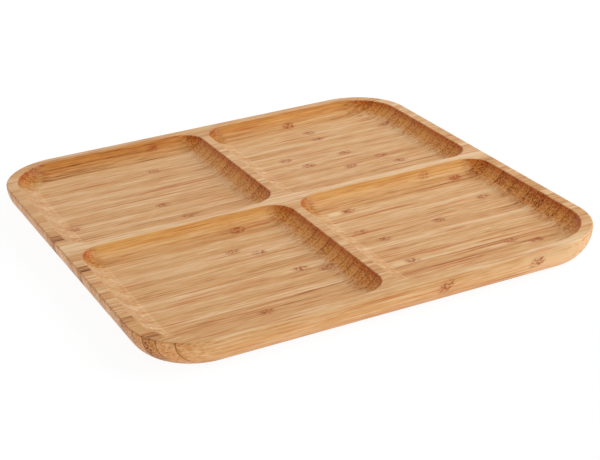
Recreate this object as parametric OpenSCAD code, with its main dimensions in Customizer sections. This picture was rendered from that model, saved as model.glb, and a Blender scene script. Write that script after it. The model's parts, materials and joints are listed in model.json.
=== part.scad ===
// Divided compartment plate: one laminated bamboo board, edge-glued from full-length strips,
// with four cove-walled wells milled in its top and a bullnose edge turned under all round.
// X runs along the grain, Y across the strips, Z is up, and the underside lies on Z = 0.

/* [Board] */
// Side of the square board
plate_w = 250; // [200:1:320]
// Thickness of the board
plate_t = 15; // [13:0.5:22]
// Radius of the board's corners in plan
corner_r = 34; // [20:0.5:45]

/* [Strips] */
// Width of one bamboo strip across the board
strip_w = 6.83; // [5:0.01:12]
// How far the middle strip's front glue line lies in front of the board's centre line
middle_lead = 1.54; // [0:0.01:5]

/* [Wells] */
// Depth of each well below the rim
well_depth = 7.25; // [5:0.05:8]
// Width of the rim between the board's edge and the wells
rim_w = 6; // [4:0.1:12]
// Width of the ribs between the wells
rib_w = 5; // [3:0.1:14]
// Plan distance from a well's arris in to its flat floor
wall_run = 12.5; // [8:0.1:13]
// Radius in plan of the flat floor's corners, all but the one at the board's corner
floor_corner_r = 1; // [0.2:0.1:8]

/* [Edges] */
// Plan distance that the board's side would turn under as one curve down to the underside
side_run = 7.8; // [4:0.1:11]
// Radius that blends that curve into the underside
foot_blend_r = 5; // [2:0.1:7]
// Radius of the sanded arris round the rim and the wells
ease_r = 0.8; // [0.4:0.1:1.5]

/* [Hidden] */
$fn = 96;
half_w = plate_w / 2;
floor_z = plate_t - well_depth;
// Centre of a board corner, out along X and Y, which the well beside it shares for an even rim
corner_at = half_w - corner_r;
well_outer_r = corner_r - rim_w;
well_corner_r = wall_run + floor_corner_r;
well_near = rib_w / 2;
well_far = half_w - rim_w;
// How far an easing arc crosses the curve that it eases, where a bare touch would leave a sliver
bite = 0.004;
// The cove is tangent to the floor and reaches the rim one wall_run further out
cove_r = (pow(wall_run, 2) + pow(well_depth, 2)) / (2 * well_depth);
cove_z = floor_z + cove_r;
// The eased arris: its centre, out from the start of the cove, and the height at which it begins
ease_z = plate_t - ease_r;
ease_run = sqrt(pow(cove_r + ease_r, 2) - pow(cove_z - ease_z, 2)) - bite;
arris_z = cove_z - cove_r * (cove_z - ease_z) / (cove_r + ease_r);
// The side's curve starts upright below the eased arris
side_r = (pow(side_run, 2) + pow(ease_z, 2)) / (2 * side_run);
// The blend inside it: its centre, and the height at which it ends
foot_x = corner_r - side_r + bite
    + sqrt(pow(side_r - foot_blend_r, 2) - pow(ease_z - foot_blend_r, 2));
foot_top = ease_z - side_r * (ease_z - foot_blend_r) / (side_r - foot_blend_r);

// Strips are counted outwards from the middle one, and the outermost take what width is left
front_strips = round((half_w - middle_lead) / strip_w);
back_strips = round((half_w + middle_lead - strip_w) / strip_w);
function glue_line(i) =
    i <= -front_strips ? -half_w :
    i > back_strips ? half_w :
    i * strip_w - middle_lead;
function strip_name(i) =
    i == 0 ? "middle_strip" :
    str(i < 0 ? "front_strip_" : "back_strip_", abs(i) < 10 ? "0" : "", abs(i));
// Sapwood, heartwood and steamed tones follow one another with no plain rhythm
tones = ["#DDB588", "#D2A36C", "#D8AC7C", "#C9955C"];
function tone(n) = tones[(3 * n + floor(n * n / 5)) % len(tones)];

// The same span across the board seen from the other side
function flipped(span) = [-span[1], -span[0]];

// Half section of the board, out from a corner's centre line at X = 0
module side_section() {
    intersection() {
        translate([corner_r, ease_z]) translate([-side_r, 0]) circle(side_r);
        translate([0, foot_top]) square([plate_w, ease_z - foot_top]);
    }
    translate([foot_x, foot_blend_r]) circle(foot_blend_r);
    translate([corner_r - ease_r, ease_z]) circle(ease_r);
    polygon([
        [0, 0],
        [foot_x, 0],
        [foot_x, foot_blend_r],
        [corner_r - ease_r, ease_z - ease_r],
        [corner_r - ease_r, plate_t],
        [0, plate_t]
    ]);
}

// The cut that makes a well's wall: flat floor from one X to the next, then the cove and its arris
module cove_section(floor_x, cove_x) {
    ease_x = cove_x + ease_run;
    difference() {
        union() {
            intersection() {
                translate([cove_x, floor_z]) translate([0, cove_r]) circle(cove_r);
                translate([cove_x, floor_z]) square(cove_r);
            }
            polygon([
                [floor_x, floor_z],
                [cove_x, floor_z],
                [cove_x + ease_run / 2, arris_z],
                [ease_x, arris_z],
                [ease_x, cove_z],
                [floor_x, cove_z]
            ]);
        }
        translate([ease_x, ease_z]) circle(ease_r);
    }
}

// Draws its children only where a strip's span across the board meets the zone they fill
module crossed(span, zone) {
    if (zone[0] < span[1] && zone[1] > span[0]) children();
}

// The board before milling, as far as one strip's span meets it
module blank(span) {
    crossed(span, [-corner_at, corner_at]) {
        translate([-corner_at, -corner_at]) cube([2 * corner_at, 2 * corner_at, plate_t]);
        for (left = [0, 1]) mirror([left, 0, 0]) blank_side();
    }
    crossed(span, [corner_at, half_w]) blank_back();
    crossed(span, [-half_w, -corner_at]) mirror([0, 1, 0]) blank_back();
}

// The board's right-hand side between its corners
module blank_side() {
    translate([corner_at, corner_at]) rotate([90, 0, 0])
        linear_extrude(2 * corner_at) side_section();
}

// The board's back side and the two corners that end it
module blank_back() {
    rotate(90) blank_side();
    for (left = [0, 1]) mirror([left, 0, 0])
        translate([corner_at, corner_at]) rotate_extrude(angle = 90) side_section();
}

// One corner of a well's cut, its arris with radius r, centred on its own centre line
module well_corner(r) {
    rotate_extrude(angle = 90) cove_section(0, r - wall_run);
}

// One straight wall of a well's cut, along X from the origin, facing +Y
module well_wall(length) {
    rotate([90, 0, 90]) linear_extrude(length) cove_section(-floor_corner_r, 0);
}

// The cut for the back right-hand well, as far as one strip's span meets it
module well(span) {
    inner = well_near + well_corner_r;
    corner_in = well_far - well_corner_r;
    low = well_near + wall_run;
    high = well_far - wall_run;
    crossed(span, [0, inner]) {
        translate([inner, inner]) rotate(180) well_corner(well_corner_r);
        translate([corner_in, inner]) rotate(270) well_corner(well_corner_r);
        translate([corner_in, low]) rotate(180) well_wall(corner_in - inner);
    }
    crossed(span, [inner, corner_in])
        translate([low, inner]) rotate(90) well_wall(corner_in - inner);
    crossed(span, [inner, corner_at])
        translate([high, corner_at]) rotate(270) well_wall(corner_at - inner);
    crossed(span, [corner_in, half_w])
        translate([inner, corner_in]) rotate(90) well_corner(well_corner_r);
    crossed(span, [corner_at, half_w])
        translate([corner_at, corner_at]) well_corner(well_outer_r);
    crossed(span, [high, half_w])
        translate([inner, high]) well_wall(corner_at - inner);
    translate([0, 0, floor_z]) linear_extrude(cove_r) polygon([
        [low, inner], [inner, low],
        [corner_in, low], [high, inner],
        [high, corner_at], [corner_at, high],
        [inner, high], [low, corner_in]
    ]);
}

// One strip: the milled board between two glue lines, its four wells mirrored from one
module strip(i) {
    span = [glue_line(i), glue_line(i + 1)];
    color(tone(i + front_strips)) difference() {
        intersection() {
            blank(span);
            translate([-half_w, span[0]]) cube([plate_w, span[1] - span[0], plate_t]);
        }
        for (left = [0, 1]) mirror([left, 0, 0]) {
            crossed(span, [0, half_w]) well(span);
            crossed(span, [-half_w, 0]) mirror([0, 1, 0]) well(flipped(span));
        }
    }
}

for (i = [-front_strips : back_strips])
    strip(i);
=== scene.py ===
import json
import math
import random

import bmesh
import bpy
from mathutils import Matrix, Vector


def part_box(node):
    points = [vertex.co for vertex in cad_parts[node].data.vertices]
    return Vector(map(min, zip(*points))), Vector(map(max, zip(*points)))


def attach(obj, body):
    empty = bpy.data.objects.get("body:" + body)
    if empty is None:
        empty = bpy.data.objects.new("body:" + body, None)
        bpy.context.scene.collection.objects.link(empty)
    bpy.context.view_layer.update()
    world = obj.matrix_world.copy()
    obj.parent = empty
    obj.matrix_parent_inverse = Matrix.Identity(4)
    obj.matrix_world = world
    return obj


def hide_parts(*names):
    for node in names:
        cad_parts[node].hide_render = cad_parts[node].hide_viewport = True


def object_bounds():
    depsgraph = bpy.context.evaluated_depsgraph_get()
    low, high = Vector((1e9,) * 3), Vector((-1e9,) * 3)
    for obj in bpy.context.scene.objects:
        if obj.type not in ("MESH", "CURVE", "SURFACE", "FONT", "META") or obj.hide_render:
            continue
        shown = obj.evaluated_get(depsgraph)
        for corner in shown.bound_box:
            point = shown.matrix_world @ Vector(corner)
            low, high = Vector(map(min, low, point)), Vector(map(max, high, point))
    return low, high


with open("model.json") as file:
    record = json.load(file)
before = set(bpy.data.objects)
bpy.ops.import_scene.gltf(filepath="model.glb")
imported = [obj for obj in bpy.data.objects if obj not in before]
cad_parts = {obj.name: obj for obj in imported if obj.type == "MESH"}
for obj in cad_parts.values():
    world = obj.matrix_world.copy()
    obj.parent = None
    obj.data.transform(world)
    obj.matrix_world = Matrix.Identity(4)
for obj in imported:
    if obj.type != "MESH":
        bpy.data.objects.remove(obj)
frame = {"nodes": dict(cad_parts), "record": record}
cadBounds = [list(corner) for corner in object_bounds()]
mm = 0.001  # sizes below are in millimetres, the scene is in metres
weld = 1e-6  # points closer than this, in metres, are one


def hexColour(code):  # sRGB hex to the linear colour that the shaders take
    parts = [int(code[i : i + 2], 16) / 255 for i in (1, 3, 5)]
    return [p / 12.92 if p <= 0.04045 else ((p + 0.055) / 1.055) ** 2.4 for p in parts] + [1.0]


def addNode(tree, kind, settings=None, links=None):  # lower-case names are node settings, the rest are sockets
    node = tree.nodes.new(kind)
    for name, value in (settings or {}).items():
        if isinstance(name, str) and name[0].islower():
            setattr(node, name, value)
        else:
            node.inputs[name].default_value = value
    for name, socket in (links or {}).items():
        tree.links.new(socket, node.inputs[name])
    return node


# Board: the milled outline and wells, in mm, with the same values as the part's source
board = {
    "cornerRadius": 34.0,
    "rimWidth": 6.0,
    "ribWidth": 5.0,
    "wellDepth": 7.25,
    "wallRun": 12.5,  # plan distance from a well's arris to its flat floor
    "floorCornerRadius": 1.0,
    "sideRun": 7.8,  # how far the side's one curve would turn under
    "footRadius": 5.0,
    "easeRadius": 0.8,  # sanded arrises
    "cornerSteps": 30,  # faces round a quarter turn
    "arcStep": 3.0,  # degrees of a profile arc per face
    "arcFaces": 4,  # fewest faces of a profile arc
    "glueFlatness": 0.9999,  # how squarely a glue face has to face along Y
}


def arcPoints(centre, radius, start, end, side=1):  # (out, up, normal out, normal up) along an arc
    count = max(board["arcFaces"], round(abs(end - start) / board["arcStep"]))
    points = []
    for i in range(count + 1):
        turn = math.radians(start + (end - start) * i / count)
        out, up = math.cos(turn), math.sin(turn)
        points.append((centre[0] + radius * out, centre[1] + radius * up, side * out, side * up))
    return points


def sideProfile(thickness):  # from the rim down to the underside, out from a corner's centre
    easeHeight = thickness - board["easeRadius"]
    sideRadius = (board["sideRun"] ** 2 + easeHeight**2) / (2 * board["sideRun"])
    reach, drop = sideRadius - board["footRadius"], easeHeight - board["footRadius"]
    sideOut = board["cornerRadius"] - sideRadius
    footOut = sideOut + math.sqrt(reach**2 - drop**2)
    turn = -math.degrees(math.asin(drop / reach))
    ease = (board["cornerRadius"] - board["easeRadius"], easeHeight)
    points = arcPoints(ease, board["easeRadius"], 90, 0)
    points += arcPoints((sideOut, easeHeight), sideRadius, 0, turn)[1:]
    points += arcPoints((footOut, board["footRadius"]), board["footRadius"], turn, -90)[1:]
    return [(board["cornerRadius"] - out, up, nOut, nUp) for out, up, nOut, nUp in points]


def wellProfile(thickness):  # from the rim down to the floor, in from the arris
    run, depth, ease = board["wallRun"], board["wellDepth"], board["easeRadius"]
    coveRadius = (run**2 + depth**2) / (2 * depth)
    coveHeight = thickness - depth + coveRadius
    drop = coveHeight - thickness + ease
    easeOut = math.sqrt((coveRadius + ease) ** 2 - drop**2)
    turn = math.degrees(math.asin(drop / (coveRadius + ease)))
    points = arcPoints((easeOut, thickness - ease), ease, 90, 180 - turn)
    points += arcPoints((0, coveHeight), coveRadius, -turn, -90, side=-1)[1:]
    return [(run - out, up, nOut, nUp) for out, up, nOut, nUp in points]


def profileObject(name, points):  # a bare line of points that the sweep reads
    mesh = bpy.data.meshes.new(name)
    edges = [(i, i + 1) for i in range(len(points) - 1)]
    mesh.from_pydata([(inward * mm, 0, up * mm) for inward, up, _, _ in points], edges, [])
    normals = mesh.attributes.new("profileNormal", "FLOAT_VECTOR", "POINT")
    for i, (_, _, nOut, nUp) in enumerate(points):
        normals.data[i].vector = (nOut, 0, nUp)
    piece = bpy.data.objects.new(name, mesh)
    bpy.context.collection.objects.link(piece)
    return piece


def cornerSweepTree():  # sweeps a profile round a rounded square whose one corner may have its own radius
    tree = bpy.data.node_groups.new("cornerSweep", "GeometryNodeTree")
    for label, kind in (
        ("Geometry", "NodeSocketGeometry"),
        ("Middle", "NodeSocketVector"),
        ("Half Span", "NodeSocketFloat"),
        ("Corner Radius", "NodeSocketFloat"),
        ("Own Corner Radius", "NodeSocketFloat"),
        ("Own Corner", "NodeSocketInt"),
        ("Corner Steps", "NodeSocketInt"),
        ("Material", "NodeSocketMaterial"),
    ):
        tree.interface.new_socket(label, in_out="INPUT", socket_type=kind)
    tree.interface.new_socket("Geometry", in_out="OUTPUT", socket_type="NodeSocketGeometry")
    given = addNode(tree, "NodeGroupInput").outputs
    profile = given["Geometry"]
    size = addNode(tree, "GeometryNodeAttributeDomainSize", {"component": "MESH"}, {"Geometry": profile})
    rows = size.outputs["Point Count"]
    stops = addNode(tree, "ShaderNodeMath", {"operation": "ADD", 1: 1}, {0: given["Corner Steps"]}).outputs[0]
    ring = addNode(tree, "ShaderNodeMath", {"operation": "MULTIPLY", 1: 4}, {0: stops}).outputs[0]
    columns = addNode(tree, "ShaderNodeMath", {"operation": "ADD", 1: 1}, {0: ring}).outputs[0]
    grid = addNode(tree, "GeometryNodeMeshGrid", {}, {"Vertices X": columns, "Vertices Y": rows})
    index = addNode(tree, "GeometryNodeInputIndex").outputs[0]
    along = addNode(tree, "ShaderNodeMath", {"operation": "DIVIDE"}, {0: index, 1: rows}).outputs[0]
    column = addNode(tree, "ShaderNodeMath", {"operation": "FLOOR"}, {0: along}).outputs[0]
    row = addNode(tree, "ShaderNodeMath", {"operation": "MODULO"}, {0: index, 1: rows}).outputs[0]
    lap = addNode(tree, "ShaderNodeMath", {"operation": "MODULO"}, {0: column, 1: ring}).outputs[0]
    part = addNode(tree, "ShaderNodeMath", {"operation": "DIVIDE"}, {0: lap, 1: stops}).outputs[0]
    corner = addNode(tree, "ShaderNodeMath", {"operation": "FLOOR"}, {0: part}).outputs[0]
    step = addNode(tree, "ShaderNodeMath", {"operation": "MODULO"}, {0: lap, 1: stops}).outputs[0]
    share = addNode(tree, "ShaderNodeMath", {"operation": "DIVIDE"}, {0: step, 1: given["Corner Steps"]}).outputs[0]
    turns = addNode(tree, "ShaderNodeMath", {"operation": "ADD"}, {0: corner, 1: share}).outputs[0]
    angle = addNode(tree, "ShaderNodeMath", {"operation": "MULTIPLY", 1: math.pi / 2}, {0: turns}).outputs[0]
    cosine = addNode(tree, "ShaderNodeMath", {"operation": "COSINE"}, {0: angle}).outputs[0]
    sine = addNode(tree, "ShaderNodeMath", {"operation": "SINE"}, {0: angle}).outputs[0]
    outward = addNode(tree, "ShaderNodeCombineXYZ", {}, {"X": cosine, "Y": sine}).outputs[0]
    middleTurn = addNode(
        tree, "ShaderNodeMath", {"operation": "MULTIPLY_ADD", 1: math.pi / 2, 2: math.pi / 4}, {0: corner}
    ).outputs[0]
    signX = addNode(tree, "ShaderNodeMath", {"operation": "COSINE"}, {0: middleTurn}).outputs[0]
    signY = addNode(tree, "ShaderNodeMath", {"operation": "SINE"}, {0: middleTurn}).outputs[0]
    diagonal = addNode(tree, "ShaderNodeCombineXYZ", {}, {"X": signX, "Y": signY}).outputs[0]
    quadrant = addNode(tree, "ShaderNodeVectorMath", {"operation": "SIGN"}, {0: diagonal}).outputs[0]
    isOwn = addNode(
        tree, "ShaderNodeMath", {"operation": "COMPARE", 2: 0.5}, {0: corner, 1: given["Own Corner"]}
    ).outputs[0]
    radius = addNode(
        tree,
        "ShaderNodeMix",
        {"data_type": "FLOAT"},
        {"Factor": isOwn, "A": given["Corner Radius"], "B": given["Own Corner Radius"]},
    ).outputs[0]
    inset = addNode(tree, "ShaderNodeMath", {"operation": "SUBTRACT"}, {0: given["Half Span"], 1: radius}).outputs[0]
    arm = addNode(tree, "ShaderNodeVectorMath", {"operation": "SCALE"}, {0: quadrant, "Scale": inset}).outputs[0]
    centre = addNode(tree, "ShaderNodeVectorMath", {"operation": "ADD"}, {0: given["Middle"], 1: arm}).outputs[0]
    position = addNode(tree, "GeometryNodeInputPosition").outputs[0]
    point = addNode(
        tree,
        "GeometryNodeSampleIndex",
        {"data_type": "FLOAT_VECTOR"},
        {"Geometry": profile, "Value": position, "Index": row},
    ).outputs[0]
    named = addNode(
        tree, "GeometryNodeInputNamedAttribute", {"data_type": "FLOAT_VECTOR", "Name": "profileNormal"}
    ).outputs[0]
    lean = addNode(
        tree,
        "GeometryNodeSampleIndex",
        {"data_type": "FLOAT_VECTOR"},
        {"Geometry": profile, "Value": named, "Index": row},
    ).outputs[0]
    pointParts = addNode(tree, "ShaderNodeSeparateXYZ", {}, {0: point}).outputs
    leanParts = addNode(tree, "ShaderNodeSeparateXYZ", {}, {0: lean}).outputs
    reach = addNode(tree, "ShaderNodeMath", {"operation": "SUBTRACT"}, {0: radius, 1: pointParts["X"]}).outputs[0]
    spoke = addNode(tree, "ShaderNodeVectorMath", {"operation": "SCALE"}, {0: outward, "Scale": reach}).outputs[0]
    lift = addNode(tree, "ShaderNodeCombineXYZ", {}, {"Z": pointParts["Z"]}).outputs[0]
    flat = addNode(tree, "ShaderNodeVectorMath", {"operation": "ADD"}, {0: centre, 1: spoke}).outputs[0]
    placed = addNode(tree, "ShaderNodeVectorMath", {"operation": "ADD"}, {0: flat, 1: lift}).outputs[0]
    leanOut = addNode(
        tree, "ShaderNodeVectorMath", {"operation": "SCALE"}, {0: outward, "Scale": leanParts["X"]}
    ).outputs[0]
    leanUp = addNode(tree, "ShaderNodeCombineXYZ", {}, {"Z": leanParts["Z"]}).outputs[0]
    normal = addNode(tree, "ShaderNodeVectorMath", {"operation": "ADD"}, {0: leanOut, 1: leanUp}).outputs[0]
    moved = addNode(tree, "GeometryNodeSetPosition", {}, {"Geometry": grid.outputs["Mesh"], "Position": placed})
    stored = addNode(
        tree,
        "GeometryNodeStoreNamedAttribute",
        {"data_type": "FLOAT_VECTOR", "domain": "POINT", "Name": "skinNormal"},
        {"Geometry": moved.outputs[0], "Value": normal},
    )
    merged = addNode(tree, "GeometryNodeMergeByDistance", {"Distance": weld}, {"Geometry": stored.outputs[0]})
    real = addNode(tree, "GeometryNodeRealizeInstances", {}, {"Geometry": merged.outputs[0]})
    finished = addNode(
        tree, "GeometryNodeSetMaterial", {}, {"Geometry": real.outputs[0], "Material": given["Material"]}
    )
    addNode(tree, "NodeGroupOutput", {}, {"Geometry": finished.outputs[0]})
    return tree


def sweptMesh(name, points, tree, values):  # evaluates the sweep and keeps a plain mesh
    piece = profileObject(name, points)
    modifier = piece.modifiers.new("sweep", "NODES")
    modifier.node_group = tree
    sockets = {s.name: s.identifier for s in tree.interface.items_tree if s.in_out == "INPUT"}
    for label, value in values.items():
        modifier[sockets[label]] = value
    evaluated = piece.evaluated_get(bpy.context.evaluated_depsgraph_get())
    mesh = bpy.data.meshes.new_from_object(evaluated)
    bpy.data.objects.remove(piece)
    return mesh


def milledBoard(width, thickness, finish):  # the whole board as one closed bmesh, before it is sawn into strips
    tree = cornerSweepTree()
    far = width / 2 - board["rimWidth"]
    near = board["ribWidth"] / 2
    innerRadius = board["wallRun"] + board["floorCornerRadius"]
    outerRadius = board["cornerRadius"] - board["rimWidth"]
    whole = bmesh.new()
    side = {
        "Half Span": width / 2 * mm,
        "Corner Radius": board["cornerRadius"] * mm,
        "Own Corner Radius": board["cornerRadius"] * mm,
        "Corner Steps": board["cornerSteps"],
        "Material": finish,
    }
    whole.from_mesh(sweptMesh("side", sideProfile(thickness), tree, side))
    for corner, (x, y) in enumerate(((1, 1), (-1, 1), (-1, -1), (1, -1))):
        well = {
            "Middle": [x * (near + far) / 2 * mm, y * (near + far) / 2 * mm, 0],
            "Half Span": (far - near) / 2 * mm,
            "Corner Radius": innerRadius * mm,
            "Own Corner Radius": outerRadius * mm,
            "Own Corner": corner,
            "Corner Steps": board["cornerSteps"],
            "Material": finish,
        }
        whole.from_mesh(sweptMesh("well", wellProfile(thickness), tree, well))
    for height in (0, thickness - board["wellDepth"], thickness):  # underside, floors and the rim with its holes
        loops = [e for e in whole.edges if e.is_boundary and all(abs(v.co.z - height * mm) < weld for v in e.verts)]
        bmesh.ops.triangle_fill(whole, use_beauty=True, edges=loops, normal=(0, 0, 1 if height else -1))
    bmesh.ops.recalc_face_normals(whole, faces=whole.faces)
    openEdges = sum(1 for e in whole.edges if not e.is_manifold)
    print("board", len(whole.faces), "faces,", openEdges, "open edges")
    return whole


def sawnStrip(whole, name, front, back):  # the board between two glue lines, closed by two flat glue faces
    strip = whole.copy()
    for cut, facing in ((back, 1), (front, -1)):
        if abs(cut) * mm > max(abs(v.co.y) for v in strip.verts) - weld:
            continue
        everything = strip.verts[:] + strip.edges[:] + strip.faces[:]
        bmesh.ops.bisect_plane(
            strip, geom=everything, plane_co=(0, cut * mm, 0), plane_no=(0, facing, 0), clear_outer=True
        )
        edges = [e for e in strip.edges if e.is_boundary]
        bmesh.ops.triangle_fill(strip, use_beauty=True, edges=edges, normal=(0, facing, 0))
    bmesh.ops.recalc_face_normals(strip, faces=strip.faces)
    skin = strip.verts.layers.float_vector["skinNormal"]
    normals = []
    for face in strip.faces:
        face.smooth = True
        sawn = abs(face.normal.y) > board["glueFlatness"] and any(
            all(abs(v.co.y - cut * mm) < weld for v in face.verts) for cut in (front, back)
        )
        for loop in face.loops:
            normals.append(face.normal.copy() if sawn else loop.vert[skin].normalized())
    mesh = bpy.data.meshes.new(name)
    strip.to_mesh(mesh)
    strip.free()
    mesh.normals_split_custom_set(normals)
    piece = bpy.data.objects.new(name, mesh)
    bpy.context.collection.objects.link(piece)
    return piece


# Bamboo: strips of culm wall, planed, glued on edge, milled, sanded and oiled. The eye sees long fibres along each
# strip, fibre bundles as dots where a wall cuts across them, dark glue lines there, and red-brown culm nodes.
bamboo = {
    "burnt": "#74401C",
    "dark": "#A06433",
    "mid": "#CB935B",
    "light": "#D9A66E",
    "pale": "#EBC699",
    "shades": {"burnt": 0.0, "dark": 0.14, "mid": 0.38, "light": 0.6, "pale": 0.9},  # the tone of each colour
    "endOilShadeTint": "#F8CD89",  # oil sinks into cut fibre ends and darkens them; laid only on end grain drawn in shade, and deeper in the wells, it is painted shade too
    "wallTopShadeTint": "#EAC496",  # painted shade at the steep top of an end-grain wall, under the arris
    "litEndTint": "#DEE6F4",  # painted light and sheen on end grain that faces the key lamp
    "keyFacingShadeTint": "#E3E0CA",  # painted shade on well walls that face the key lamp
    # painted: steep faces warmer, as they catch less sheen than the flat tops
    "sheenlessHoneyTint": "#F8E0AC",
    "redTint": "#EABD9F",
    "glueTint": "#7A3D10",
    "nodeTint": "#A44E1B",
    # pale colour of sanded wear and of a node's pale patch, also used for painted highlights on arrises and at the
    # cove foot
    "paleWearAndHighlight": "#F0D0A0",
    # patterns: their pitch across and up the strip and their length along it
    "bundlePitch": (1.15, 0.75),  # real bundles lie about 0.7 mm apart, drawn coarser across so that they show
    "bundleLength": 30.0,
    "fibrePitch": (1.25, 0.9),  # the coarse octave, with finer ones down to the real 0.2 mm
    "fibreLength": 65.0,
    "streakPitch": (1.5, 1.1),
    "streakLength": 65.0,
    "porePitch": (1.0, 0.8),
    "poreLength": 9.0,
    "dotPitch": (1.0, 0.85),  # cut vessels on end grain, drawn coarser than the real 0.3 mm
    "dotLength": 1.3,
    "waverSpan": (50.0, 20.0),  # along and across the strip, how far apart the fibres drift aside
    "waverSwing": 1.8,
    "culmJump": (311.0, 47.3, 71.9),  # how far apart in the pattern two strips can lie
    "redStreaks": {"From Min": 0.58, "From Max": 0.72},
    "blondStreaks": {"From Min": 0.42, "From Max": 0.3},
    # tones, from 0, burnt, to 1, pale
    "level": 0.57,
    "toneShift": {"bamboo_straw": 0.07, "bamboo_honey": 0.02, "bamboo_amber": -0.03, "bamboo_brown": -0.08},
    "endContrast": {"To Min": 1.0, "To Max": 0.35},  # of the fibres, on a face and on end grain drawn in shade
    "poreDepth": 0.6,
    "fibreMiddle": 0.5,  # what each pattern is on average, so that it leaves the level as it is
    "vesselMiddle": 0.4,
    "bundleMiddle": 0.3,
    "bundleDepth": {"To Min": 0.38, "To Max": 0.8},  # on a face and on end grain drawn in shade
    "bundleCrowd": -0.14,  # fibre bundles crowd towards the culm's outer face, and it is darker
    "outerTone": -0.08,
    "blondTone": 0.09,
    # painted light: how much paler the end grain facing the key lamp is drawn
    "litEndTone": 0.13,
    # where the surface cuts the fibres: by its lean along the strip, and by the way it faces in plan
    "endGrain": {"From Min": 0.1, "From Max": 0.58},
    "backwardShare": 0.8,
    "shadedEndShare": {"From Min": 0.25, "From Max": 0.75, "To Min": 1.0, "To Max": 0.3},
    "keyFacingCorner": {"From Min": 0.02, "From Max": 0.24},
    "wellShadeShare": {"To Min": 0.45},  # painted shade: end grain in the wells is darkened more than on the board's own side
    "rimFade": 0.6,
    "sideBelow": (1.0, 0.5),  # this far under the floors lies nothing but the board's own side
    "upright": {"From Min": 0.97, "From Max": 0.7},
    # painted shade at the top of end-grain walls, and the arrises' wear and painted highlight, in mm under the rim
    "wallTopShadeFrom": (1.5, 4.0),  # on the board's own side and in a well
    "wallTopShadeFull": 0.7,
    "wearHighlightFrom": (0.42, 0.2),
    "wearHighlightShare": {"From Min": 0.1, "From Max": 0.45, "To Max": 0.25},
    # a painted glint at the foot of a wall, in mm above the floor
    "footGlintFrom": (0.012, 0.03),
    "footGlintTo": (0.11, 0.07),
    "footGlintShare": {"From Min": 0.03, "From Max": 0.07, "To Max": 0.25},
    "nodeReach": (4.9, 3.1, 5.2),  # half length, width and depth of a node's mark
    "nodeEdge": {"From Min": 1.15, "From Max": 0.5},
    "nodeLean": 0.4,  # mm along the strip for each mm of height
    "nodeLift": 1.2,  # of its middle above the floor
    "nodeRagged": 4.0,  # how far its dots stray
    "haloOffset": 7.5,  # from a node to the pale patch beside it
    "speckSize": (1.7, 1.2, 1.2),
    "speckDepth": {"From Min": 0.43, "From Max": 0.57, "To Min": 1.0, "To Max": 0.22},
    "plainest": {"To Min": 0.8, "To Max": 1.0},  # some strips' nodes are plainer than others'
    "stainFade": 0.45,  # of its half length
    "glueWidth": 0.3,  # half of a glue line, drawn wider than the real 0.1 mm
    "glueEdge": (1.5, 0.5),
    "glueShare": {"To Min": 0.1, "To Max": 1.0},  # along the fibres and on end grain drawn in shade
    "roughness": {"To Min": 0.5, "To Max": 0.36},  # open brown fibre, hard pale fibre
    "specular": 0.15,
    "bumpStrength": 0.3,
    "bumpDepth": 0.12,
}


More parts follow.
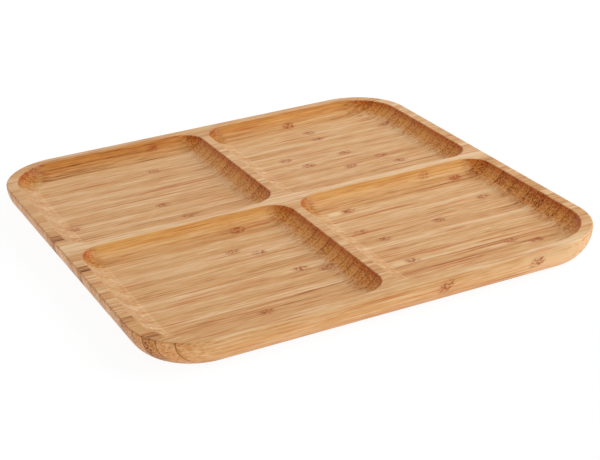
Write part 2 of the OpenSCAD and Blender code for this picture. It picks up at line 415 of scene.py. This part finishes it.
def bambooMaterial(name, shift, floorHeight, thickness, rimInside):
    material = bpy.data.materials.new(name)
    material.use_nodes = True
    tree = material.node_tree
    tree.nodes.clear()
    smooth = {"interpolation_type": "SMOOTHSTEP"}
    coords = addNode(tree, "ShaderNodeTexCoord").outputs
    place = addNode(
        tree, "ShaderNodeVectorMath", {"operation": "SCALE", "Scale": 1 / mm}, {0: coords["Object"]}
    ).outputs[0]
    x, y, z = addNode(tree, "ShaderNodeSeparateXYZ", {}, {0: place}).outputs
    own = {}
    for label in ("stripPlace", "stripNodes", "stripGrain", "stripStain", "stripTint"):
        value = addNode(tree, "ShaderNodeAttribute", {"attribute_name": label}).outputs["Vector"]
        own[label] = addNode(tree, "ShaderNodeSeparateXYZ", {}, {0: value}).outputs
    front, width, seed = own["stripPlace"]
    nodeA, nodeB, halo = own["stripNodes"]
    flip, nodeCentre, stripTone = own["stripGrain"]
    stainPlace, stainReach, stainTone = own["stripStain"]
    honey, glueStrength, endTone = own["stripTint"]

    # every strip is its own piece of culm, so the pattern jumps from strip to strip, and its fibres waver a little
    jump = addNode(
        tree, "ShaderNodeVectorMath", {"operation": "SCALE", 0: bamboo["culmJump"]}, {"Scale": seed}
    ).outputs[0]
    culm = addNode(tree, "ShaderNodeVectorMath", {"operation": "ADD"}, {0: place, 1: jump}).outputs[0]
    alongSpan, acrossSpan = bamboo["waverSpan"]
    slower = (1 / alongSpan, 1 / acrossSpan, 1 / acrossSpan)
    slow = addNode(tree, "ShaderNodeVectorMath", {"operation": "MULTIPLY", 1: slower}, {0: culm}).outputs[0]
    drift = addNode(tree, "ShaderNodeTexNoise", {"Scale": 1.0, "Detail": 1.0}, {"Vector": slow}).outputs["Color"]
    swing = bamboo["waverSwing"]
    waver = addNode(
        tree,
        "ShaderNodeVectorMath",
        {"operation": "MULTIPLY_ADD", 1: (0.0, swing, swing), 2: (0.0, -swing / 2, -swing / 2)},
        {0: drift},
    ).outputs[0]
    grown = addNode(tree, "ShaderNodeVectorMath", {"operation": "ADD"}, {0: culm, 1: waver}).outputs[0]
    patterns = {}
    for label, kind, pitch, length, settings in (
        ("fibre", "Noise", bamboo["fibrePitch"], bamboo["fibreLength"], {"Detail": 4.0, "Roughness": 0.74}),
        ("streak", "Noise", bamboo["streakPitch"], bamboo["streakLength"], {"Detail": 1.5}),
        ("pore", "Noise", bamboo["porePitch"], bamboo["poreLength"], {"Detail": 2.0, "Roughness": 0.6}),
        ("dot", "Voronoi", bamboo["dotPitch"], bamboo["dotLength"], {"Randomness": 1.0}),
        ("bundle", "Voronoi", bamboo["bundlePitch"], bamboo["bundleLength"], {"Randomness": 0.9}),
    ):
        stretch = (1 / length, 1 / pitch[0], 1 / pitch[1])
        drawn = addNode(tree, "ShaderNodeVectorMath", {"operation": "MULTIPLY", 1: stretch}, {0: grown}).outputs[0]
        kind = "ShaderNodeTex" + kind
        patterns[label] = addNode(tree, kind, {"Scale": 1.0, **settings}, {"Vector": drawn}).outputs
    fibre, streak, pore = (patterns[label]["Fac"] for label in ("fibre", "streak", "pore"))
    cell = patterns["bundle"]["Distance"]
    red = addNode(tree, "ShaderNodeMapRange", {**smooth, **bamboo["redStreaks"]}, {"Value": streak}).outputs[0]
    blond = addNode(tree, "ShaderNodeMapRange", {**smooth, **bamboo["blondStreaks"]}, {"Value": streak}).outputs[0]

    # the culm's outer face is one edge of the strip
    inStrip = addNode(tree, "ShaderNodeMath", {"operation": "SUBTRACT"}, {0: y, 1: front}).outputs[0]
    across = addNode(
        tree, "ShaderNodeMath", {"operation": "DIVIDE", "use_clamp": True}, {0: inStrip, 1: width}
    ).outputs[0]
    mirrored = addNode(tree, "ShaderNodeMath", {"operation": "SUBTRACT", 0: 1.0}, {1: across}).outputs[0]
    outer = addNode(
        tree, "ShaderNodeMix", {"data_type": "FLOAT"}, {"Factor": flip, "A": across, "B": mirrored}
    ).outputs[0]
    crowd = addNode(
        tree, "ShaderNodeMath", {"operation": "MULTIPLY_ADD", 1: bamboo["bundleCrowd"]}, {0: outer, 2: cell}
    ).outputs[0]

    # end grain: how squarely the surface cuts the fibres
    face = addNode(tree, "ShaderNodeSeparateXYZ", {}, {0: coords["Normal"]}).outputs
    steep = addNode(tree, "ShaderNodeMath", {"operation": "ABSOLUTE"}, {0: face["X"]}).outputs[0]
    endGrain = addNode(tree, "ShaderNodeMapRange", {**smooth, **bamboo["endGrain"]}, {"Value": steep}).outputs[0]

    # in a well or on the board's own side: within the rim's rounded inner edge, and not below the floors
    rimReach = board["cornerRadius"] - board["rimWidth"]
    reaches = []
    for axis in (x, y):
        away = addNode(tree, "ShaderNodeMath", {"operation": "ABSOLUTE"}, {0: axis}).outputs[0]
        past = addNode(
            tree, "ShaderNodeMath", {"operation": "SUBTRACT", 1: rimInside - rimReach}, {0: away}
        ).outputs[0]
        reaches.append(addNode(tree, "ShaderNodeMath", {"operation": "MAXIMUM", 1: 0.0}, {0: past}).outputs[0])
    fromCentre = addNode(tree, "ShaderNodeCombineXYZ", {}, {"X": reaches[0], "Y": reaches[1]}).outputs[0]
    outermost = addNode(tree, "ShaderNodeVectorMath", {"operation": "LENGTH"}, {0: fromCentre}).outputs["Value"]
    inRim = addNode(
        tree,
        "ShaderNodeMapRange",
        {"From Min": rimReach + bamboo["rimFade"], "From Max": rimReach},
        {"Value": outermost},
    ).outputs[0]
    below, full = bamboo["sideBelow"]
    overFloor = addNode(
        tree, "ShaderNodeMapRange", {"From Min": floorHeight - below, "From Max": floorHeight - full}, {"Value": z}
    ).outputs[0]
    inWell = addNode(tree, "ShaderNodeMath", {"operation": "MULTIPLY"}, {0: inRim, 1: overFloor}).outputs[0]

    # painted shade and light: end grain on walls that face away from the key lamp, towards -X, is drawn darker, and
    # on walls that face it paler
    backward = addNode(
        tree, "ShaderNodeMath", {"operation": "MULTIPLY", 1: bamboo["backwardShare"]}, {0: face["Y"]}
    ).outputs[0]
    turned = addNode(
        tree, "ShaderNodeMath", {"operation": "MULTIPLY_ADD"}, {0: backward, 1: inWell, 2: face["X"]}
    ).outputs[0]
    sideways = addNode(tree, "ShaderNodeMath", {"operation": "ABSOLUTE"}, {0: face["Y"]}).outputs[0]
    girth = addNode(tree, "ShaderNodeMath", {"operation": "ADD"}, {0: steep, 1: sideways}).outputs[0]
    girth = addNode(tree, "ShaderNodeMath", {"operation": "MAXIMUM", 1: 0.02}, {0: girth}).outputs[0]  # not zero
    heading = addNode(tree, "ShaderNodeMath", {"operation": "DIVIDE"}, {0: turned, 1: girth}).outputs[0]
    shadedEndShare = addNode(tree, "ShaderNodeMapRange", bamboo["shadedEndShare"], {"Value": heading}).outputs[0]
    shadedEndGrain = addNode(tree, "ShaderNodeMath", {"operation": "MULTIPLY"}, {0: endGrain, 1: shadedEndShare}).outputs[0]
    litEndGrain = addNode(tree, "ShaderNodeMath", {"operation": "SUBTRACT"}, {0: endGrain, 1: shadedEndGrain}).outputs[0]
    # painted shade: the end grain's oil tint is laid on the shaded walls, more deeply in the wells
    wellShade = addNode(tree, "ShaderNodeMapRange", bamboo["wellShadeShare"], {"Value": inWell}).outputs[0]
    endOilAndShade = addNode(tree, "ShaderNodeMath", {"operation": "MULTIPLY"}, {0: shadedEndGrain, 1: wellShade}).outputs[0]

    # tone from 0, burnt, to 1, pale
    contrast = addNode(tree, "ShaderNodeMapRange", bamboo["endContrast"], {"Value": shadedEndGrain}).outputs[0]
    middle = addNode(
        tree, "ShaderNodeMath", {"operation": "SUBTRACT", 1: bamboo["fibreMiddle"]}, {0: fibre}
    ).outputs[0]
    level = addNode(
        tree, "ShaderNodeMath", {"operation": "ADD", 1: bamboo["level"] + shift}, {0: stripTone}
    ).outputs[0]
    tone = addNode(
        tree, "ShaderNodeMath", {"operation": "MULTIPLY_ADD"}, {0: middle, 1: contrast, 2: level}
    ).outputs[0]
    depth = bamboo["poreDepth"]
    poreTone = addNode(
        tree, "ShaderNodeMath", {"operation": "MULTIPLY_ADD", 1: depth, 2: -depth / 2}, {0: pore}
    ).outputs[0]
    tone = addNode(tree, "ShaderNodeMath", {"operation": "ADD"}, {0: tone, 1: poreTone}).outputs[0]
    distance = patterns["dot"]["Distance"]
    vessel = addNode(
        tree, "ShaderNodeMath", {"operation": "SUBTRACT", 1: bamboo["vesselMiddle"]}, {0: distance}
    ).outputs[0]
    bundle = addNode(
        tree, "ShaderNodeMath", {"operation": "SUBTRACT", 1: bamboo["bundleMiddle"]}, {0: crowd}
    ).outputs[0]
    bundleDepth = addNode(tree, "ShaderNodeMapRange", bamboo["bundleDepth"], {"Value": shadedEndGrain}).outputs[0]
    for part, share in (
        (endTone, endOilAndShade),
        (vessel, endOilAndShade),
        (bundle, bundleDepth),
        (outer, bamboo["outerTone"]),
        (blond, bamboo["blondTone"]),
        (litEndGrain, bamboo["litEndTone"]),
    ):
        fixed = {1: share} if isinstance(share, float) else {}
        driven = {} if fixed else {1: share}
        tone = addNode(
            tree, "ShaderNodeMath", {"operation": "MULTIPLY_ADD", **fixed}, {0: part, **driven, 2: tone}
        ).outputs[0]
    fromStain = addNode(tree, "ShaderNodeMath", {"operation": "SUBTRACT"}, {0: x, 1: stainPlace}).outputs[0]
    stainGap = addNode(tree, "ShaderNodeMath", {"operation": "ABSOLUTE"}, {0: fromStain}).outputs[0]
    stainDeep = addNode(tree, "ShaderNodeMath", {"operation": "SUBTRACT"}, {0: stainReach, 1: stainGap}).outputs[0]
    stainSoft = addNode(
        tree, "ShaderNodeMath", {"operation": "MULTIPLY", 1: bamboo["stainFade"]}, {0: stainReach}
    ).outputs[0]
    stain = addNode(tree, "ShaderNodeMapRange", smooth, {"Value": stainDeep, "From Max": stainSoft}).outputs[0]
    tone = addNode(
        tree, "ShaderNodeMath", {"operation": "MULTIPLY_ADD"}, {0: stain, 1: stainTone, 2: tone}
    ).outputs[0]
    ramp = addNode(tree, "ShaderNodeValToRGB", {}, {"Fac": tone})
    stops = ramp.color_ramp.elements
    stops.remove(stops[1])
    for shade, position in bamboo["shades"].items():
        stop = stops.new(position) if position else stops[0]
        stop.color = hexColour(bamboo[shade])

    # red and honey tints fade where the surface cuts the fibres, and honey shows on steep faces only: painted, as
    # the steep faces lack the sheen that pales the flat tops
    upright = addNode(tree, "ShaderNodeMapRange", bamboo["upright"], {"Value": face["Z"]}).outputs[0]
    alongGrain = addNode(tree, "ShaderNodeMath", {"operation": "SUBTRACT", 0: 1.0}, {1: endGrain}).outputs[0]
    upright = addNode(tree, "ShaderNodeMath", {"operation": "MULTIPLY"}, {0: upright, 1: alongGrain}).outputs[0]
    sheenlessWarmth = addNode(tree, "ShaderNodeMath", {"operation": "MULTIPLY"}, {0: honey, 1: upright}).outputs[0]
    ruddy = addNode(tree, "ShaderNodeMath", {"operation": "MULTIPLY"}, {0: red, 1: alongGrain}).outputs[0]
    layers = [
        (ruddy, "MULTIPLY", "redTint"),
        (endOilAndShade, "MULTIPLY", "endOilShadeTint"),
        (sheenlessWarmth, "MULTIPLY", "sheenlessHoneyTint"),
        (litEndGrain, "MULTIPLY", "litEndTint"),
    ]

    # painted shade: well walls that face the key lamp, towards +X and -Y, are toned down against its direct light
    forward = addNode(tree, "ShaderNodeMath", {"operation": "MULTIPLY", 1: -1.0}, {0: face["Y"]}).outputs[0]
    towardsKey = addNode(tree, "ShaderNodeMath", {"operation": "MINIMUM"}, {0: face["X"], 1: forward}).outputs[0]
    facingKey = addNode(tree, "ShaderNodeMapRange", bamboo["keyFacingCorner"], {"Value": towardsKey}).outputs[0]
    keyFacingShade = addNode(tree, "ShaderNodeMath", {"operation": "MULTIPLY"}, {0: facingKey, 1: inWell}).outputs[0]
    layers.append((keyFacingShade, "MULTIPLY", "keyFacingShadeTint"))

    # painted shade: the steep top of an end-grain wall is drawn darker, outside only at its arris; the arris itself
    # is drawn pale, partly sanded wear and partly painted highlight
    ownSide, inside = bamboo["wallTopShadeFrom"]
    wallShadeStart = addNode(
        tree, "ShaderNodeMapRange", {"To Min": thickness - ownSide, "To Max": thickness - inside}, {"Value": inWell}
    ).outputs[0]
    high = addNode(
        tree,
        "ShaderNodeMapRange",
        {**smooth, "From Max": thickness - bamboo["wallTopShadeFull"]},
        {"Value": z, "From Min": wallShadeStart},
    ).outputs[0]
    wallTopShade = addNode(tree, "ShaderNodeMath", {"operation": "MULTIPLY"}, {0: high, 1: endOilAndShade}).outputs[0]
    layers.append((wallTopShade, "MULTIPLY", "wallTopShadeTint"))
    # the pale arris is sanded wear and a painted highlight, strongest on the front arris outside
    starts, ends = (thickness - drop for drop in bamboo["wearHighlightFrom"])
    top = addNode(
        tree, "ShaderNodeMapRange", {**smooth, "From Min": starts, "From Max": ends}, {"Value": z}
    ).outputs[0]
    frontSide = addNode(
        tree, "ShaderNodeMath", {"operation": "MULTIPLY_ADD", 1: -1.0}, {0: face["Y"], 2: steep}
    ).outputs[0]
    leaning = addNode(
        tree, "ShaderNodeMix", {"data_type": "FLOAT"}, {"Factor": inWell, "A": frontSide, "B": steep}
    ).outputs[0]
    rounded = addNode(tree, "ShaderNodeMapRange", bamboo["wearHighlightShare"], {"Value": leaning}).outputs[0]
    wearAndHighlight = addNode(tree, "ShaderNodeMath", {"operation": "MULTIPLY"}, {0: top, 1: rounded}).outputs[0]
    layers.append((wearAndHighlight, "MIX", "paleWearAndHighlight"))

    # painted glint: a faint pale line where a cove facing +X meets the floor
    footGlint = addNode(tree, "ShaderNodeMapRange", bamboo["footGlintShare"], {"Value": face["X"]}).outputs[0]
    for rises in (bamboo["footGlintFrom"], bamboo["footGlintTo"]):
        starts, ends = (floorHeight + rise for rise in rises)
        band = addNode(
            tree, "ShaderNodeMapRange", {**smooth, "From Min": starts, "From Max": ends}, {"Value": z}
        ).outputs[0]
        footGlint = addNode(tree, "ShaderNodeMath", {"operation": "MULTIPLY"}, {0: footGlint, 1: band}).outputs[0]
    layers.append((footGlint, "MIX", "paleWearAndHighlight"))

    # node marks: a patch of red-brown dots across the strip, some with a pale patch beside it
    finer = [1 / size for size in bamboo["speckSize"]]
    speckPlace = addNode(tree, "ShaderNodeVectorMath", {"operation": "MULTIPLY", 1: finer}, {0: culm}).outputs[0]
    speck = addNode(tree, "ShaderNodeTexNoise", {"Scale": 1.0, "Detail": 2.0}, {"Vector": speckPlace}).outputs["Fac"]
    wild, slope = bamboo["nodeRagged"], bamboo["nodeLean"]
    ragged = addNode(
        tree, "ShaderNodeMath", {"operation": "MULTIPLY_ADD", 1: wild, 2: -wild / 2}, {0: speck}
    ).outputs[0]
    lean = addNode(
        tree, "ShaderNodeMath", {"operation": "MULTIPLY_ADD", 1: -slope, 2: slope * floorHeight}, {0: z}
    ).outputs[0]
    loose = addNode(tree, "ShaderNodeMath", {"operation": "ADD"}, {0: ragged, 1: lean}).outputs[0]
    shaken = addNode(tree, "ShaderNodeMath", {"operation": "ADD"}, {0: x, 1: loose}).outputs[0]
    aside = addNode(tree, "ShaderNodeMath", {"operation": "SUBTRACT"}, {0: across, 1: nodeCentre}).outputs[0]
    aside = addNode(tree, "ShaderNodeMath", {"operation": "MULTIPLY"}, {0: aside, 1: width}).outputs[0]
    above = addNode(
        tree, "ShaderNodeMath", {"operation": "SUBTRACT", 1: floorHeight + bamboo["nodeLift"]}, {0: z}
    ).outputs[0]
    reach = [1 / size for size in bamboo["nodeReach"]]
    patches = []
    for centre, offset in ((nodeA, 0.0), (nodeB, 0.0), (nodeA, bamboo["haloOffset"])):
        apart = addNode(tree, "ShaderNodeMath", {"operation": "SUBTRACT"}, {0: shaken, 1: centre}).outputs[0]
        moved = addNode(tree, "ShaderNodeMath", {"operation": "ADD", 1: offset}, {0: apart}).outputs[0]
        spot = addNode(tree, "ShaderNodeCombineXYZ", {}, {"X": moved, "Y": aside, "Z": above}).outputs[0]
        scaled = addNode(tree, "ShaderNodeVectorMath", {"operation": "MULTIPLY", 1: reach}, {0: spot}).outputs[0]
        far = addNode(tree, "ShaderNodeVectorMath", {"operation": "LENGTH"}, {0: scaled}).outputs["Value"]
        patch = addNode(tree, "ShaderNodeMapRange", {**smooth, **bamboo["nodeEdge"]}, {"Value": far})
        patches.append(patch.outputs[0])
    mark = addNode(tree, "ShaderNodeMath", {"operation": "MAXIMUM"}, {0: patches[0], 1: patches[1]}).outputs[0]
    dots = addNode(tree, "ShaderNodeMapRange", bamboo["speckDepth"], {"Value": speck}).outputs[0]
    plain = addNode(tree, "ShaderNodeMapRange", bamboo["plainest"], {"Value": seed}).outputs[0]
    dots = addNode(tree, "ShaderNodeMath", {"operation": "MULTIPLY"}, {0: dots, 1: plain}).outputs[0]
    markDepth = addNode(tree, "ShaderNodeMath", {"operation": "MULTIPLY"}, {0: mark, 1: dots}).outputs[0]
    layers.append((markDepth, "MIX", "nodeTint"))
    haloDepth = addNode(tree, "ShaderNodeMath", {"operation": "MULTIPLY"}, {0: patches[2], 1: halo}).outputs[0]
    layers.append((haloDepth, "MIX", "paleWearAndHighlight"))

    # glue lines: half of each on either strip, plain on end grain and hardly seen along the fibres
    frontGap = addNode(tree, "ShaderNodeMath", {"operation": "MULTIPLY"}, {0: across, 1: width}).outputs[0]
    backGap = addNode(tree, "ShaderNodeMath", {"operation": "MULTIPLY"}, {0: mirrored, 1: width}).outputs[0]
    gap = addNode(tree, "ShaderNodeMath", {"operation": "MINIMUM"}, {0: frontGap, 1: backGap}).outputs[0]
    starts, ends = (bamboo["glueWidth"] * share for share in bamboo["glueEdge"])
    glue = addNode(
        tree, "ShaderNodeMapRange", {**smooth, "From Min": starts, "From Max": ends}, {"Value": gap}
    ).outputs[0]
    glueShow = addNode(tree, "ShaderNodeMapRange", bamboo["glueShare"], {"Value": shadedEndGrain}).outputs[0]
    glueLine = addNode(tree, "ShaderNodeMath", {"operation": "MULTIPLY"}, {0: glue, 1: glueShow}).outputs[0]
    glueDepth = addNode(tree, "ShaderNodeMath", {"operation": "MULTIPLY"}, {0: glueLine, 1: glueStrength}).outputs[0]
    layers.append((glueDepth, "MIX", "glueTint"))

    colour = ramp.outputs["Color"]
    for amount, blend, shade in layers:
        colour = addNode(
            tree,
            "ShaderNodeMix",
            {"data_type": "RGBA", "blend_type": blend, 7: hexColour(bamboo[shade])},
            {0: amount, 6: colour},
        ).outputs[2]
    gloss = addNode(tree, "ShaderNodeMapRange", bamboo["roughness"], {"Value": tone}).outputs[0]
    relief = {"Strength": bamboo["bumpStrength"], "Distance": bamboo["bumpDepth"] * mm}
    bump = addNode(tree, "ShaderNodeBump", relief, {"Height": tone}).outputs[0]
    shader = addNode(
        tree,
        "ShaderNodeBsdfPrincipled",
        {"Specular IOR Level": bamboo["specular"]},
        {"Base Color": colour, "Roughness": gloss, "Normal": bump},
    )
    addNode(tree, "ShaderNodeOutputMaterial", {}, {"Surface": shader.outputs[0]})
    return material


# Strips: sawn at the glue lines that the frame gives. The marks on each strip are read off the photograph, in mm
# along it from the board's middle. Strips are numbered from the middle one, with those in front below zero.
culmNodes = {
    -18: (22.7, 74.5),
    -15: (-59, 92),
    -14: (80.5,),
    -13: (26.5,),
    -11: (-14,),
    -10: (-25,),
    -9: (27,),
    -8: (63,),
    -7: (21,),
    -6: (-34.6, 99),
    -5: (-45.6,),
    -3: (27.6,),
    -2: (-34, 99),
    -1: (81,),
    3: (-47,),
    4: (88,),
    5: (-107, 59.5),
    6: (-54, 82),
    7: (39,),
    8: (66,),
    9: (31,),
    12: (63, 108),
    13: (-40,),
    14: (63,),
    16: (56,),
    17: (-32,),
}
paleBeside = {-3: 0.9, -13: 0.5}  # a pale patch to the left of that node
stains = {  # darker and paler stretches of a strip: their middle and half length, and the tone that they add
    -16: (-120, 8, -0.35),
    -13: (-122, 6, -0.35),
    -10: (116, 4.5, -0.5),
    -5: (116, 4.5, -0.38),
    -4: (-122, 4, -0.4),
    2: (-122, 4, -0.45),
    # paler towards the right of the front strip: painted light, where the key lamp lights the front side more
    -18: (95, 35, 0.19),
    16: (-62, 50, -0.13),
    17: (-62, 50, -0.15),
    # the end wall of the front right well is darker
    **{number: (116, 11, -0.12) for number in (-12, -11, -9, -8, -7, -6, -3, -2)},
}
strips = {
    "seed": 7,
    "nodeCentre": (0.35, 0.65),  # of the strip's width
    "tone": (-0.05, 0.05),
    "glueStrength": (0.35, 0.85),
    "endTone": (-0.12, 0.1),
}
tones = {  # strips whose own tone shows in the photograph, in place of a drawn one
    -18: -0.03,
    -17: 0.08,
    -16: 0.0,
    -15: -0.13,
    -2: -0.04,
    -1: 0.09,
    0: 0.28,
    16: -0.08,
    17: -0.07,
    # paler: painted sheen on the far rim's top
    18: 0.08,
}
sheenlessHoneyStrips = {-18: 0.3, -2: 1.0, -1: 1.0, 16: 1.0, 17: 1.0}  # strips whose steep faces are painted warmer and yellower, lacking the flat tops' sheen
farAway = 999.0  # a strip with no node in its length

lowest, highest = cadBounds
boardWidth = (highest[0] - lowest[0]) / mm
boardThickness = (highest[2] - lowest[2]) / mm
slots = {part["node"]: part["material_slot"] for part in frame["record"]["subparts"]}
floorHeight = boardThickness - board["wellDepth"]
finishes = {
    slot: bambooMaterial(slot, shift, floorHeight, boardThickness, boardWidth / 2 - board["rimWidth"])
    for slot, shift in bamboo["toneShift"].items()
}

print("milling the board")
whole = milledBoard(boardWidth, boardThickness, finishes[slots["middle_strip"]])

print("sawing strips")
spans = sorted((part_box(node)[0][1] / mm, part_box(node)[1][1] / mm, node) for node in frame["nodes"])
middleStrip = [node for _, _, node in spans].index("middle_strip")
rng = random.Random(strips["seed"])
for order, (front, back, node) in enumerate(spans):
    piece = sawnStrip(whole, "bamboo_" + node, round(front, 3), round(back, 3))
    number = order - middleStrip
    nodesAt = (tuple(culmNodes.get(number, ())) + (farAway, farAway))[:2]
    seed, flip = rng.random(), rng.randint(0, 1)
    centre, tone = rng.uniform(*strips["nodeCentre"]), rng.uniform(*strips["tone"])
    shown = {
        "stripPlace": (front, back - front, seed),
        "stripNodes": (*nodesAt, paleBeside.get(number, 0.0)),
        "stripGrain": (flip, 0.0 if order == 0 else centre, tones.get(number, tone)),
        "stripStain": stains.get(number, (farAway, 1, 0)),
        "stripTint": (
            sheenlessHoneyStrips.get(number, 0.0),
            rng.uniform(*strips["glueStrength"]),
            rng.uniform(*strips["endTone"]),
        ),
    }
    for label, value in shown.items():
        attribute = piece.data.attributes.new(label, "FLOAT_VECTOR", "POINT")
        attribute.data.foreach_set("vector", [*value] * len(piece.data.vertices))
    piece.data.materials.clear()
    piece.data.materials.append(finishes[slots[node]])
    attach(piece, "root")
    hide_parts(node)
whole.free()

# Studio: a white floor and soft light, with one large lamp in front on the right
studio = {
    "floorSize": 6.0,  # in metres, as are the lamp's size and place
    "floorDrop": 0.05,  # in mm, so that the board's underside and the floor don't lie in one plane
    "floorColour": "#F4F4F4",
    "floorWhite": 0.9,  # how much of the floor's white the camera sees without its shadow
    "floorGlow": 0.35,  # the table is lit from below, which fills the shadow under the rim
    "skyLight": 0.53,
    "keyPower": 18.0,
    "keySize": 1.2,
    "keyPlace": (1.25, -0.35, 0.95),
}


def seenDirectly(tree):  # 1 for a ray that meets plain white: from the camera, off a gloss or through a clear piece
    path = addNode(tree, "ShaderNodeLightPath").outputs
    links = {0: path["Is Camera Ray"], 1: path["Is Glossy Ray"]}
    plain = addNode(tree, "ShaderNodeMath", {"operation": "MAXIMUM"}, links).outputs[0]
    links = {0: plain, 1: path["Is Transmission Ray"]}
    return addNode(tree, "ShaderNodeMath", {"operation": "MAXIMUM"}, links).outputs[0]


print("lighting the studio")
half = studio["floorSize"] / 2
floorMesh = bpy.data.meshes.new("studioFloor")
floorMesh.from_pydata([(-half, -half, 0), (half, -half, 0), (half, half, 0), (-half, half, 0)], [], [(0, 1, 2, 3)])
floorMesh.transform(Matrix.Translation((0, 0, -studio["floorDrop"] * mm)))
floor = bpy.data.objects.new("studioFloor", floorMesh)
bpy.context.collection.objects.link(floor)
# matt white paper: the eye sees plain white, with the board's soft shadow on it
paper = bpy.data.materials.new("mattPaperSweep")
paper.use_nodes = True
tree = paper.node_tree
tree.nodes.clear()
sheet = addNode(tree, "ShaderNodeBsdfDiffuse", {"Color": hexColour(studio["floorColour"])})
lit = addNode(tree, "ShaderNodeEmission", {"Color": (1, 1, 1, 1), "Strength": studio["floorGlow"]})
table = addNode(tree, "ShaderNodeAddShader", {}, {0: sheet.outputs[0], 1: lit.outputs[0]})
white = addNode(tree, "ShaderNodeEmission", {"Color": (1, 1, 1, 1), "Strength": 1.0})
share = addNode(tree, "ShaderNodeMath", {"operation": "MULTIPLY", 1: studio["floorWhite"]}, {0: seenDirectly(tree)})
seen = addNode(tree, "ShaderNodeMixShader", {}, {0: share.outputs[0], 1: table.outputs[0], 2: white.outputs[0]})
addNode(tree, "ShaderNodeOutputMaterial", {}, {"Surface": seen.outputs[0]})
floor.data.materials.append(paper)

world = bpy.data.worlds.new("softRoom")
world.use_nodes = True
tree = world.node_tree
tree.nodes.clear()
level = addNode(
    tree, "ShaderNodeMapRange", {"To Min": studio["skyLight"], "To Max": 1.0}, {"Value": seenDirectly(tree)}
)
sky = addNode(tree, "ShaderNodeBackground", {"Color": (1, 1, 1, 1)}, {"Strength": level.outputs[0]})
addNode(tree, "ShaderNodeOutputWorld", {}, {"Surface": sky.outputs[0]})
bpy.context.scene.world = world

lamp = bpy.data.lights.new("key", "AREA")
lamp.energy = studio["keyPower"]
lamp.size = studio["keySize"]
key = bpy.data.objects.new("key", lamp)
key.location = studio["keyPlace"]
key.rotation_euler = (-Vector(studio["keyPlace"])).to_track_quat("-Z", "Y").to_euler()
bpy.context.collection.objects.link(key)

# Camera: where the photograph was taken from
view = {
    "azimuth": -25.565,
    "elevation": 24.5945,
    "roll": -2.5982,
    "distance": 0.7644,
    "target": (-0.01153, -0.04038, 0.015),
    "lens": 90.24,
    "sensorWidth": 36.0,
}

print("placing the camera")
azimuth, elevation = math.radians(view["azimuth"]), math.radians(view["elevation"])
back = Vector(
    (math.sin(azimuth) * math.cos(elevation), -math.cos(azimuth) * math.cos(elevation), math.sin(elevation))
)
right = (-back).cross(Vector((0, 0, 1))).normalized()
up = right.cross(-back)
roll = math.radians(view["roll"])
turnedRight = math.cos(roll) * right + math.sin(roll) * up
turnedUp = math.cos(roll) * up - math.sin(roll) * right
lens = bpy.data.cameras.new("camera")
lens.lens = view["lens"]
lens.sensor_width = view["sensorWidth"]
camera = bpy.data.objects.new("camera", lens)
axes = Matrix((turnedRight, turnedUp, back)).transposed().to_4x4()
camera.matrix_world = Matrix.Translation(Vector(view["target"]) + view["distance"] * back) @ axes
bpy.context.collection.objects.link(camera)
bpy.context.scene.camera = camera
bpy.context.scene.view_settings.view_transform = "Standard"
